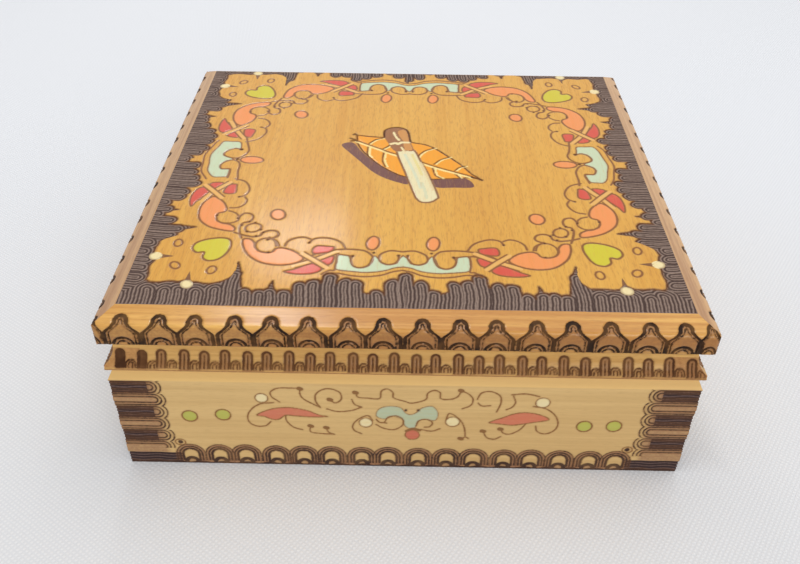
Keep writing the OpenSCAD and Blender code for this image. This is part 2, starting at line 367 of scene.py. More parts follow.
def octant(points, right, back, side):
    """Places on the lid of the points (s, t): s runs from the corner along the edge and t inwards.

    A slow sine of each place makes the eight copies differ as handwork does.
    """
    p = np.array(points, float)
    s, t = p[:, 0], p[:, 1]
    phase = 1.7 * right + 2.9 * back + 4.3 * side
    s, t = s + 0.28 * np.sin(0.31 * t + 0.11 * s + phase), t + 0.22 * np.sin(0.23 * s + 1.4 * phase)
    a, b = (t, s) if side else (s, t)
    x = FIELD_RIGHT - a if right else a + FIELD_LEFT
    y = FIELD_BACK - b if back else b + FIELD_FRONT
    return np.stack([x, y], axis=1)


def corner_place(at):
    """The (s, t) of each point of the lid's top, and which of the eight parts it lies in."""
    x, y = at.T
    right, back = x > (FIELD_LEFT + FIELD_RIGHT) / 2, y > (FIELD_FRONT + FIELD_BACK) / 2
    a = np.where(right, FIELD_RIGHT - x, x - FIELD_LEFT)
    b = np.where(back, FIELD_BACK - y, y - FIELD_FRONT)
    side = a < b
    return np.where(side, b, a), np.where(side, a, b), right + 2 * back + 4 * side


def border(panel):
    """Dark border of loops that stand on the lid's edge side by side, each with lines nested in it.

    A loop is the distance to an upright segment below its round top. The border is the nearest
    loop's inside, the ground below the gaps between tops, and a few pointed spikes. Towards the
    corner it ends at two smooth edges that meet in a rounded corner of radius 2.
    """
    s, t, part_of = corner_place(panel.at)
    for part in range(8):
        here = np.nonzero((part_of == part) & (t < 18))[0]
        phase = 1.3 * part
        u = s[here] + 0.3 * np.sin(0.4 * t[here] + phase)
        u += 0.05 * np.sin(1.7 * t[here] + 0.8 * s[here])
        v = t[here] + 0.25 * np.sin(0.9 * s[here] + 2 * phase)
        loops, spikes, edge, drop = BORDER[part >> 2]
        other = BORDER[1 - (part >> 2)][2]
        count = np.arange(len(loops))
        middle, top = np.array(loops).T
        middle = middle + 0.4 * np.sin(count * 2.1 + phase)
        top = top + 0.5 * np.sin(count * 3.7 + phase)
        d = np.hypot(u[:, None] - middle, np.maximum(v[:, None] - (top - 2.0), 0)).min(axis=1)
        gaps = (middle[1:] + middle[:-1]) / 2
        ground = np.interp(u, gaps, np.minimum(top[1:], top[:-1]) - drop)
        gap = np.minimum(d - 2.1, v - ground)
        for place, tip in spikes:
            gap = np.minimum(gap, np.maximum(np.abs(u - place) - 0.27 * (tip - v), v - tip))
        past, beside = v - np.interp(u, *np.array(edge).T), u - other[0][1]
        nearer = np.minimum(past, beside)
        rounded = 2 - np.hypot(np.maximum(2 - past, 0), np.maximum(2 - beside, 0))
        gap = np.where(u < edge[-1][0], np.where(nearer > 2, nearer, rounded), gap)
        panel.dark[here] = gap
        panel.comb[here] = np.abs((d + 0.62) % 1.05 - 0.525) - 0.25
        panel.ink[here] = np.minimum(panel.ink[here], np.abs(gap) - 0.2)


def corner_motif(panel, right, back):
    """Heart, rings, dots, crescents, crossed stems with petals, and curls of one corner."""
    def put(points, side=0):
        return octant(points, right, back, side)

    def bent(points, side=0, closed=False):
        return put(curve(points, closed), side)

    def dots(places, side=0):
        for place in put(places, side):
            panel.dot(place, 0.36)

    panel.paint(bent(HEART + tuple((b, a) for a, b in HEART[-2:0:-1]), closed=True), LIME, 0.34)
    for place, turn in (((10.3, 22.9), 0), ((12.2, 12.2), 35), ((22.7, 10.6), 0)):
        panel.ring(put(oval(place, 1.25, 1.75, turn)), 0.3)
    for side, (bead, wedge) in enumerate(BEADS):
        panel.paint(put(wedge, side), SCORCHED)
        spot = put(oval(bead, 1.9, 1.9, 20), side)
        panel.paint(spot, CREAM)
        here = panel.near(spot, 2.0)
        panel.dark[here] = np.maximum(panel.dark[here], -signed(panel.at[here], spot))
        panel.paint(bent(CRESCENT, side, True), SALMON, 0.32)
        panel.burn(bent(CURL, side), 0.3)
        dots(((37.4, 19),), side)
        for petal in PETALS:
            panel.paint(bent(petal, side, True), RED, 0.26)
        for lobe in LOBES:
            panel.burn(bent(lobe, side), 0.32)
        dots(((48.5, 24.3),), side)
        for stem in (((57, 19.9), (51, 15.8), (45.2, 13)), ((54.6, 12.4), (51, 15.8), (47.4, 19))):
            path = bent(stem, side)
            panel.line(path, tone(232, 178, 100), 0.75)
            way = path[-1] - path[0]
            off = np.array([-way[1], way[0]]) / np.hypot(*way)
            panel.burn(path + off, 0.25)
            panel.burn(path - off, 0.25)
        panel.burn(bent(SWIRL, side), 0.36)
        dots(((25.5, 36.4), (29.2, 34.4), (27.4, 32.6)), side)
    panel.ring(put(oval((31, 31.2), 2.3, 2.3)), 0.33)
    dots(((31, 33.9), (33.4, 30.2), (29.6, 29.2)))
    panel.burn(bent(((36.7, 26.4), (38.6, 24.6), (39.5, 22.2))), 0.3)
    panel.paint(put(oval((37.7, 38.5), 2.3, 2.8)), SALMON, 0.32)


def long_ribbon(panel, back):
    """Pale ribbon with two bites, hook lobes and drops in the middle of the front or back edge."""
    half = (
        (0, 13.2), (2.3, 12.7), (5.3, 11.2), (9.8, 10.4), (13.8, 10.7), (18.7, 11.7), (18.9, 15),
        (18.6, 18.3), (16, 18.2), (15.3, 17.2), (14.4, 13.7), (12.4, 12.5), (10, 13.7), (9.1, 16.7),
        (8.2, 18.2), (7, 16.7), (6.2, 15.2), (4, 14.2), (2, 14.9), (1.2, 17), (0, 18.6),
    )
    strokes = (
        (0.3, ((0, 11.6), (2.6, 10.9), (5.6, 9.3), (9.8, 8.5), (14, 8.8), (18, 9.8), (21, 9.6))),
        (0.34, ((0, 20.4), (3, 20.9), (5, 20.2), (6.6, 18.7), (6.9, 16.6), (6.2, 15.1), (4.4, 14.2),
                (2.5, 14.8), (1.4, 16.6), (1.3, 18.4))),
        (0.34, ((14.4, 18.1), (15, 16.2), (14.2, 13.6), (12.3, 12.5), (10, 13.4), (8.8, 16.2),
                (8.9, 18.3), (10.6, 20.4), (13, 21.1), (17, 21.2), (22, 20.2), (25, 18.7),
                (26.7, 17.4))),
        (0.3, ((14.6, 17.9), (18.5, 18.6), (22, 18.2), (24.2, 17.1))),
        (0.3, ((19, 18.2), (19.1, 14), (19, 11.2), (20.4, 11), (22.4, 9.2))),
        (0.28, ((21.3, 17.2), (22.8, 13.8), (24.4, 11.7))),
    )

    def spot(points, flip):
        p = np.array(points, float)
        u = (-0.8 if back else -2.0) + p[:, 0] * flip + 0.2 * np.sin(0.5 * p[:, 1] + 3 * back)
        return np.stack([u, FIELD_BACK - p[:, 1] if back else p[:, 1] + FIELD_FRONT], axis=1)

    rim = curve(half, steps=4)
    panel.paint(np.concatenate([spot(rim, 1), spot(rim[::-1], -1)]), PALE_BLUE, 0.22)
    for flip in (1, -1):
        for width, stroke in strokes:
            panel.burn(spot(curve(stroke), flip), width)
        panel.paint(spot(oval((8.8, 24.5), 1.9, 3.4), flip), SALMON, 0.3)
        for place in spot(((8.3, 19.8), (1.3, 18.6), (14.4, 18)), flip):
            panel.dot(place, 0.42)


def side_ribbon(panel, left):
    """The same ribbon, shorter, in the middle of the left or right edge."""
    def spot(points):
        x, y = np.array(points, float).T
        x = FIELD_LEFT + FIELD_RIGHT - x if left else x
        return np.stack([x + 0.2 * np.sin(0.6 * y + left), y], axis=1)

    loop = (
        (62.6, -8), (64.5, -4.5), (65.3, 0), (65.6, 3.3), (65.2, 8), (64, 12.5), (62.7, 15.3),
        (60, 15.3), (57, 15), (56.5, 12), (56.6, 10.4), (58.5, 10.3), (60.5, 9), (61.2, 7), (60.5, 5.3),
        (58.7, 4.2), (57.8, 3.3), (59, 2.2), (60.7, 1), (61.2, -1), (60.3, -3), (58, -3.3), (57.5, -4),
        (57.8, -7), (58.3, -8), (60.5, -8.3),
    )
    strokes = (
        (0.3, ((64.5, -9.5), (66.5, -5), (67.4, 0), (67.6, 3.3), (67.2, 8), (66, 13), (64.6, 16))),
        (0.34, ((55.5, 20), (54, 12), (53.3, 9), (53.8, 6.6), (55.3, 4.7), (57.6, 4), (60.4, 5.3),
                (61.2, 7), (60.3, 9.2), (58.3, 10.5), (56.2, 10))),
        (0.34, ((54.3, -10), (54.6, -4), (54.8, -1.2), (55.8, 1.6), (57.8, 2.8), (60.3, 1.5),
                (61.3, -0.8), (60.3, -3.1), (57.7, -3), (57.2, -5), (57.7, -8.6))),
    )
    panel.paint(spot(curve(loop, True, 4)), PALE_BLUE, 0.22)
    for width, stroke in strokes:
        panel.burn(spot(curve(stroke)), width)
    panel.dot(spot(((56, 9.9),))[0], 0.65)
    panel.paint(spot(oval((51.4, 3), 3.9, 2.2)), SALMON, 0.3)
    panel.dot(spot(((56.2, 3.4),))[0], 0.55)


def leaf_and_cigarette(panel):
    """Orange leaf with a maroon shadow, and a cigarette lying across it."""
    shade = (
        (-24, 14), (-21.5, 16), (-19.5, 15), (-17, 10), (-13, 4), (-9, 0), (-5, -4), (-1.2, -5.5),
        (-0.8, -10.8), (-4, -10), (-9, -7), (-13, -3), (-17, 3), (-21, 9),
    )
    panel.paint(curve(shade, True, 4), MAROON)
    shade = ((7, -8), (12, -7.6), (18, -7), (20.3, -12), (14, -12.6), (8, -12.5))
    panel.paint(curve(shade, True, 4), MAROON)
    leaf = (
        (-19, 21.3), (-14, 20.3), (-9.5, 19.8), (-4, 18.3), (1, 16.3), (4.5, 15.3), (8, 12.8), (12, 8),
        (15.5, 3.5), (17.5, 0.5), (20, -4), (22.5, -6.9), (19.8, -6.1), (17, -6.6), (12, -7.2),
        (6, -7.6), (-2, -6.2), (-6, -3.5), (-10, 0.5), (-13, 4.5), (-15.5, 8.5), (-17.5, 12.5),
        (-18.6, 16.5),
    )
    panel.paint(curve(leaf, True, 4), LEAF)
    panel.burn(curve(leaf + leaf[:1], False, 4), 0.26, True)
    rib = (
        (-19, 17), (-14.5, 14), (-10, 11), (-7.5, 9.2), (-1.5, 6), (4, 2.5), (9, -0.5), (15, -3.5),
        (20, -6),
    )
    veins = (
        ((-14.8, 15), (-12.5, 18), (-10, 19.2)), ((-10, 11.5), (-8, 13.5), (-7, 15.5)),
        ((3, 8.5), (5, 11), (8, 12.8)), ((1.5, 5), (2.4, 7), (3, 8.5)), ((7.7, 2), (10, 5), (13, 6.8)),
        ((14.5, -2), (16, 0), (18, 1)), ((-14.8, 13), (-14.8, 8), (-13.8, 6)),
        ((-9.3, 9.5), (-9.5, 4), (-8.5, 0)), ((7.2, -0.5), (8, -5), (10, -7)), ((14.5, -4), (16, -6.5)),
    )
    for vein in veins:
        path = curve(vein)
        panel.line(path + [0.72, -0.1], LEAF_VEIN, 0.36)
        panel.burn(path, 0.2, True)
    panel.line(curve(rib) + [-0.1, -0.5], LEAF_VEIN, 0.48)
    panel.burn(curve(rib) + [0.15, 0.42], 0.22, True)
    panel.burn(curve(((20, -6), (21.8, -6.8), (23.1, -7.7))), 0.42, True)
    marks = (
        ((-19, 21.3), (-19.8, 22.2), (-20.2, 21.6)), ((-21.2, 19), (-19.6, 18), (-18.8, 17)),
        ((-20.8, 17), (-19.4, 17.4)),
    )
    for mark in marks:
        panel.burn(mark, 0.4, True)
    body = (
        (-4.9, 10.3), (-2, 10.8), (1.1, 11), (3.4, 3.4), (5.6, -4), (8.6, -17), (8.2, -19.4),
        (6.2, -21.3), (3.6, -21.4), (2.1, -19.8), (0.9, -16), (-2, -3),
    )
    panel.paint(curve(body, True, 4), PAPER, 0.34)
    streaks = (
        (tone(228, 206, 158), ((3.2, 3), (5.2, -5), (7.2, -14))),
        (tone(214, 218, 188), ((-2.0, 8), (1.2, -4), (3.2, -13))),
        (tone(230, 214, 148), ((0.4, 8), (2.2, 1), (3.6, -5))),
        (tone(214, 214, 178), ((3.6, -10), (4.6, -15), (5, -19))),
    )
    for colour, streak in streaks:
        panel.line(curve(streak), colour, 0.5)
    filter_end = (
        (-9.4, 20), (-9.5, 24), (-8.6, 26), (-6, 27.3), (-3, 26.8), (-1.2, 24.5), (-0.2, 17), (0.9, 11),
        (-2, 10.6), (-4.9, 10), (-6.6, 12), (-8, 16),
    )
    panel.paint(curve(filter_end, True, 4), FILTER_DARK)
    panel.burn(curve(filter_end[:7], False, 4), 0.34, True)
    lit = (
        (-4.6, 24.6), (-2.6, 25.4), (-1.4, 23.8), (-0.6, 17.2), (0.4, 11.6), (-2.2, 11.4), (-2.6, 17),
        (-4.2, 21),
    )
    panel.paint(curve(lit, True, 4), FILTER_LIGHT)
    glints = (
        (0.42, ((-6.2, 23.5), (-5.4, 20.5), (-4.2, 18))),
        (0.6, ((-7, 15.2), (-5.4, 15.9), (-4.4, 15.2), (-3.2, 16.5), (-0.8, 16.4))),
        (0.36, ((-3.3, 13), (-2.8, 11.4), (-2.2, 10.3))),
    )
    for width, glint in glints:
        panel.line(curve(glint), CREAM, width)


def lid_drawing(at):
    """The whole drawing on the flat of the lid, for the points at[:, (x, y)]."""
    panel = Panel((at - [0.95, 0.36]) / [1.0, 0.991])
    border(panel)
    for back in (0, 1):
        long_ribbon(panel, back)
    for left in (0, 1):
        side_ribbon(panel, left)
    for right in (0, 1):
        for back in (0, 1):
            corner_motif(panel, right, back)
    leaf_and_cigarette(panel)
    return panel


def soft(value, low, high):
    """0 below low and 1 above high, with a smooth step between."""
    t = np.clip((value - low) / (high - low), 0, 1)
    return t * t * (3 - 2 * t)


def wander(index, size, seed):
    """Small uneven shifts of repeated marks, as handwork has: a sine of the mark's number."""
    return size * np.sin(index * 2.399 + seed * 1.7)


def nearest(*gaps):
    """Smallest of the distances, point by point."""
    return np.minimum.reduce(gaps)


def body_drawing(u, z, half, seed):
    """Burned finger ends, scallops, dots and scrolls on a face of the body, half wide.

    The finger ends are rings round the middle of each row's end, and the scallops upright arches
    over a small eye. All of it ends just above the foot of the bevel.
    """
    panel = Panel(np.stack([u, z], axis=1))
    below = z < CUT - BEVEL_H + 0.2
    # Place along the board, counted so that every corner lies at HALF_X
    run = np.abs(u) + (HALF_X - half)
    row = np.floor(z / ROW)
    off = z - (row + 0.5) * ROW
    loop = np.hypot(np.maximum(71.2 + wander(row, 0.4, seed) - run, 0), off)
    rings = np.minimum(np.abs(loop - 2.15), np.abs(loop - 1.15)) - 0.24
    outer = np.where(run < 70.5, np.abs(loop - 3.3) - 0.2, FAR)
    ringed = (run > 66) & (z > 6.5) & below
    panel.ink[:] = np.where(ringed, np.minimum(rings, outer), FAR)
    panel.brown[:] = 0.72 * soft(run, 69.0, 71.0) * soft(2.6 - np.abs(off), -0.4, 0.3) * below
    ends = np.maximum(72.2 + wander(row, 0.5, seed + 1) - run, np.abs(off) - 2.35)
    panel.dark[:] = np.where(z < ROW, 66.5 - run, np.where(row % 2 == 0, ends, FAR))
    panel.comb[:] = np.abs((off + 2.4 + 0.2 * np.sin(0.7 * u)) % 1.2 - 0.6) - 0.36
    count = int(round(2 * 66 * half / HALF_X / 8.45))
    for i in range(count):
        c = ((i + 0.5) / count - 0.5) * 2 * (half - 14.6) + wander(i, 0.35, seed)
        tall = 4.35 + wander(i, 0.12, seed + 2)
        here = np.nonzero(np.abs(u - c) < 6)[0]
        x, y = u[here] - c, z[here]
        d = np.hypot(x, np.maximum(y - 4.3, 0))
        arches = ((0.0, 0.16), (0.95, 0.25), (1.9, 0.36))
        arcs = nearest(*(np.abs(d - tall + drop) - width for drop, width in arches))
        arcs = np.where(y > 1.2, arcs, FAR)
        eye = np.abs(np.hypot(x, y - 0.9) - 1.7) - 0.62
        panel.ink[here] = nearest(panel.ink[here], arcs, eye)
        gap = np.minimum(panel.dark[here], np.maximum(tall + 0.1 - d, y - 5.2))
        panel.dark[here] = np.where(np.abs(x) < 4.3, gap, panel.dark[here])
        scorch = 0.75 * soft(d, 2.1, 2.5) * soft(tall + 0.4 - d, 0, 0.6) + 0.6 * soft(2.6 - y, 0, 1)
        panel.brown[here] = np.maximum(panel.brown[here], np.minimum(scorch, 0.9))
    panel.ink[:] = np.minimum(panel.ink, z - 0.9 - 0.3 * np.sin(0.9 * u + seed))
    for end in (-1, 1):
        knot = (end * (half - 16.4), 9.6)
        panel.dot(knot, 0.75)
        panel.ring(oval(knot, 1.5, 1.3), 0.2)
    scrolls(panel, half)
    return panel


def scrolls(panel, half):
    """Scroll panel in the middle of a body face, with dots at both sides."""
    for x, z in ((-61.7, 21), (-52, 21.8), (52, 19.5), (60.5, 19.8)):
        x = x - math.copysign(HALF_X - half, x)
        panel.paint(oval((x, z), 2.2, 2.2), tone(180, 180, 86), 0.22)
    for x, z, r in ((-40.3, 29, 1.8), (-11, 19.5, 1.9), (39, 29, 2), (14, 20.5, 2)):
        panel.paint(oval((x, z), r, r), tone(232, 214, 166), 0.16)
    leaves = (
        ((-42.3, 22), (-38, 24.5), (-33, 25.3), (-28, 24.3), (-24.5, 22.5), (-22, 21.8), (-26, 21.5),
         (-31, 21.8), (-34, 22), (-36, 20.3), (-38, 20.2), (-40, 21.3)),
        ((24.5, 20.5), (28, 22.5), (32, 24.5), (36, 24.8), (40, 23.5), (41.5, 22), (38, 21), (34, 20),
         (31, 19.5), (27, 20)),
    )
    for leaf in leaves:
        panel.paint(curve(leaf, True, 4), tone(204, 118, 92), 0.16)
    wings = (
        (-8, 22.5), (-7, 25.5), (-4, 26.6), (-1, 26), (0.3, 24), (1.8, 23.2), (3.4, 24), (5, 26),
        (8, 26.8), (9.7, 24), (9, 21), (6.4, 21.3), (4.3, 20.6), (3.4, 18), (1.7, 17.4), (0.2, 18.6),
        (-0.4, 21), (-3, 22.4), (-5.6, 21.2),
    )
    panel.paint(curve(wings, True, 4), tone(180, 190, 160), 0.1)
    panel.paint(oval((2.5, 14.6), 2.1, 2.1), tone(198, 108, 86), 0.14)
    panel.burn(curve(((0.8, 16.2), (2.6, 17.2), (4.6, 16.6))), 0.5)
    strokes = (
        ((-35.3, 27.5), (-37.3, 29.5), (-37.5, 31.5), (-35.5, 33), (-32, 33.2), (-29.2, 33)),
        ((-29.2, 33), (-29.3, 31), (-28.5, 29), (-26, 27), (-23.8, 25.5)),
        ((-23.8, 25.5), (-25, 28), (-24.8, 31), (-22.5, 33), (-20, 33), (-18, 31.5), (-17.8, 29),
         (-19.5, 27.5), (-21, 28.8)),
        ((-22, 25), (-19, 24), (-15, 24.5), (-12, 26)), ((-12, 26), (-14, 27), (-14.8, 29)),
        ((-13.7, 31.8), (-13, 30), (-10.5, 29.7), (-7, 29.6), (-6.5, 32.5), (-4.8, 33.5), (-3.2, 32),
         (-3, 30), (0, 28.7), (2.3, 28), (6, 29.5), (6.5, 32), (8.3, 33.3), (10, 32.3), (10.3, 30),
         (13, 29.8), (15, 31), (15.8, 33.3)),
        ((15.8, 33.3), (18, 32), (19.3, 30), (18.8, 27.5), (16.5, 26)),
        ((-37, 27.2), (-41, 26.5), (-43.8, 24), (-45, 21), (-44.5, 18.5), (-42.5, 17.2), (-40, 17.5),
         (-38.4, 19.3)),
        ((36.5, 27.5), (40, 26.7), (43, 24), (44.3, 20.5), (43.5, 17.5), (41, 16), (38.7, 17),
         (38, 19.3)),
        ((20.5, 30), (21.5, 32.5), (24, 33.2), (26.8, 31.5), (27.2, 28.5), (26.3, 25)),
        ((20.8, 28.5), (22, 27.3), (24.3, 27.5)), ((30, 32), (34, 32.5), (37.8, 31.5)),
        ((30.5, 31.5), (31.3, 29), (30.5, 27), (29, 26)),
        ((-34, 22), (-33.8, 19.5), (-32, 17), (-29.5, 16)),
        ((-27, 17.5), (-27.3, 15.5), (-26, 14.7), (-20.3, 14.2)),
        ((-22.5, 17), (-22, 15.2), (-20.3, 14.2)),
        ((35, 20), (33.5, 17.5), (31, 15.7), (29, 16), (28, 17.7)),
        ((23, 16.7), (24.3, 14), (26.5, 13.3), (28.3, 14.5)), ((16.7, 13.3), (18, 14), (19, 13.4)),
        ((-12.3, 14.7), (-14.3, 16), (-14.8, 18), (-13.5, 20.5), (-10.5, 22.5), (-9, 20.5)),
        ((12, 21), (13, 24), (16, 21.5), (17.5, 18), (18, 14)), ((-8, 21), (-7, 19.8), (-5, 19.5)),
        ((3.5, 18.5), (4.3, 20.7), (6.5, 21.3), (8.2, 20), (7.5, 18.3), (6, 18)),
        ((-5.5, 20), (-4.5, 22), (-2, 22.5), (-0.3, 21), (-0.5, 18.5), (-3, 16.7), (-6, 17.3),
         (-8, 18.8)),
        ((5, 17), (8, 16.3), (10.5, 17.5)),
    )
    for stroke in strokes:
        panel.burn(curve(stroke), 0.22)
    beads = (
        (-29.2, 33), (-21, 28.8), (-13.7, 31.8), (15.8, 33.3), (-27, 17.6), (-22.5, 17), (28, 17.7),
        (23, 16.7), (16.7, 13.3),
    )
    for bead in beads:
        panel.burn(np.array([bead, bead], float) + [[-0.25, 0.1], [0.25, -0.1]], 0.7)
    panel.dot((0.5, 25), 0.4)
    panel.dot((4, 25), 0.4)


def frame_drawing(u, z, half, seed):
    """Tall and low burned arches in turn along the lid's frame, laid out along the curved section.

    An arch is the distance to an upright segment, and stops at an uneven foot above the cut. Just above
    the cut the frame is darkened as painted shade of the seam.
    """
    panel = Panel(np.stack([u, z], axis=1))
    heights = np.linspace(CUT, PLATE_Z, 400)
    run = np.cumsum(np.hypot(np.diff(heights), np.diff(frame_inset(heights))))
    way_up = np.interp(z, heights[1:], run)
    count = int(round((2 * half - 9) / 5.85))
    pitch = (2 * half - 9) / count
    for i in range(count + 1):
        c = -half + 4.5 + i * pitch + wander(i, 0.3, seed)
        top = 6.3 + wander(i, 0.25, seed + 1)
        foot = 0.9 + wander(i, 0.25, seed + 2)
        here = np.nonzero(np.abs(u - c) < 5)[0]
        x, y = u[here] - c, way_up[here]
        above = soft(y, foot - 0.5, foot)
        d = np.hypot(x, np.maximum(y - top + 1.2, 0))
        tall = np.minimum(np.abs(d - 1.15) - 0.33, d - 0.2)
        if seed == 0 and i < 2:
            # The first two of the front are burned out solid
            tall = d - 1.4
        scorch = 0.8 * soft(1.5 - d, 0, 0.4) * above
        d = np.hypot(x - pitch / 2, np.maximum(y - 2.0 + wander(i, 0.2, seed + 3), 0))
        arches = nearest(tall, np.abs(d - 1.3) - 0.22, np.abs(d - 0.55) - 0.2)
        panel.ink[here] = np.minimum(panel.ink[here], np.maximum(arches, foot - y))
        scorch = np.maximum(scorch, 0.45 * soft(1.6 - d, 0, 0.5) * above)
        panel.brown[here] = np.maximum(panel.brown[here], scorch)
    # Painted shade: the lowest 0.7 mm of the frame is darkened through the brown share, as if the seam
    # between lid and body lay in shadow
    panel.brown[:] = np.maximum(panel.brown, 0.8 * soft(0.7 - way_up, 0, 0.3))
    return panel


def plate_edge_drawing(u, w, half, seed):
    """Onion arches on the plate's edge; w is the way up the section from the plate's underside.

    An onion's half width narrows smoothly with the height to a round tip, and a small round arch
    stands inside its foot.
    """
    panel = Panel(np.stack([u, w], axis=1))
    count = int(round(2 * half / 10.4))
    pitch = (2 * half - 17) / (count - 1)
    places = [(-half + 7.9 + i * pitch + wander(i, 0.35, seed), 1.0) for i in range(count)]
    high = 8.9 if seed % 2 == 0 else 6.9
    for c, share in places + [(-half, 0.62), (half - 2.6, 0.7)]:
        here = np.nonzero(np.abs(u - c) < 7)[0]
        x, y = np.abs(u[here] - c) / share, w[here]
        body = x - 1.6 - 3.0 * soft(high - 0.3 - y, 0, 3.8)
        body = np.where(y > high, np.hypot(x, y - high) - 1.6, body)
        arc = np.hypot(x, np.maximum(y - 0.9, 0))
        small = np.minimum(np.abs(arc - 2.7) - 0.4, np.abs(arc - 1.6) - 0.25)
        marks = nearest(np.abs(body) - 0.54, np.abs(body + 1.15) - 0.2, np.maximum(small, y - 4.5))
        marks = np.where(y < high + 3, marks, FAR)
        panel.ink[here] = np.minimum(panel.ink[here], marks)
        scorch = 0.6 * soft(0.3 - body, 0, 0.5) * soft(arc, 1.2, 1.5)
        panel.brown[here] = np.maximum(panel.brown[here], np.maximum(scorch, 0.4 * soft(5.6 - y, 0, 1)))
    return panel


def body_inset(z):
    """How far the body's faces lie inside the outline at height z: a straight bevel below the cut."""
    return BEVEL_IN * np.clip((z - CUT + BEVEL_H) / BEVEL_H, 0, 1)


def frame_inset(z):
    """The same for the lid's frame: a lip, then a quarter-like hollow, then a straight strip."""
    rise = np.clip(COVE_HIGH - z, 0, COVE_HIGH - COVE_LOW)
    hollow = COVE_IN - COVE_R + np.sqrt(COVE_R**2 - rise**2)
    return np.where(z <= COVE_LOW, 0.0, hollow)


def hinge_cut(s, z, n, above):
    """Outer surface n of a back piece, cut back by the leaf mortises and the knuckles' round recess."""
    side = np.abs(np.abs(s) - HINGE_X)
    high = z - HINGE_Z if above else HINGE_Z - z
    arch = HINGE_Y - np.sqrt(np.maximum(KNUCKLE_R**2 - high**2, 0))
    n = np.where((side < KNUCKLE_HALF) & (high < KNUCKLE_R), np.minimum(n, arch), n)
    return np.where((side < LEAF_HALF) & (high < LEAF_T + 0.001), np.minimum(n, LEAF_FROM), n)


def turned(side, x, y):
    """How far along a side of the box, and how far out of its middle, the places (x, y) lie."""
    (ax, ay), (ox, oy) = ALONG[side], OUT[side]
    return x * ax + y * ay, x * ox + y * oy


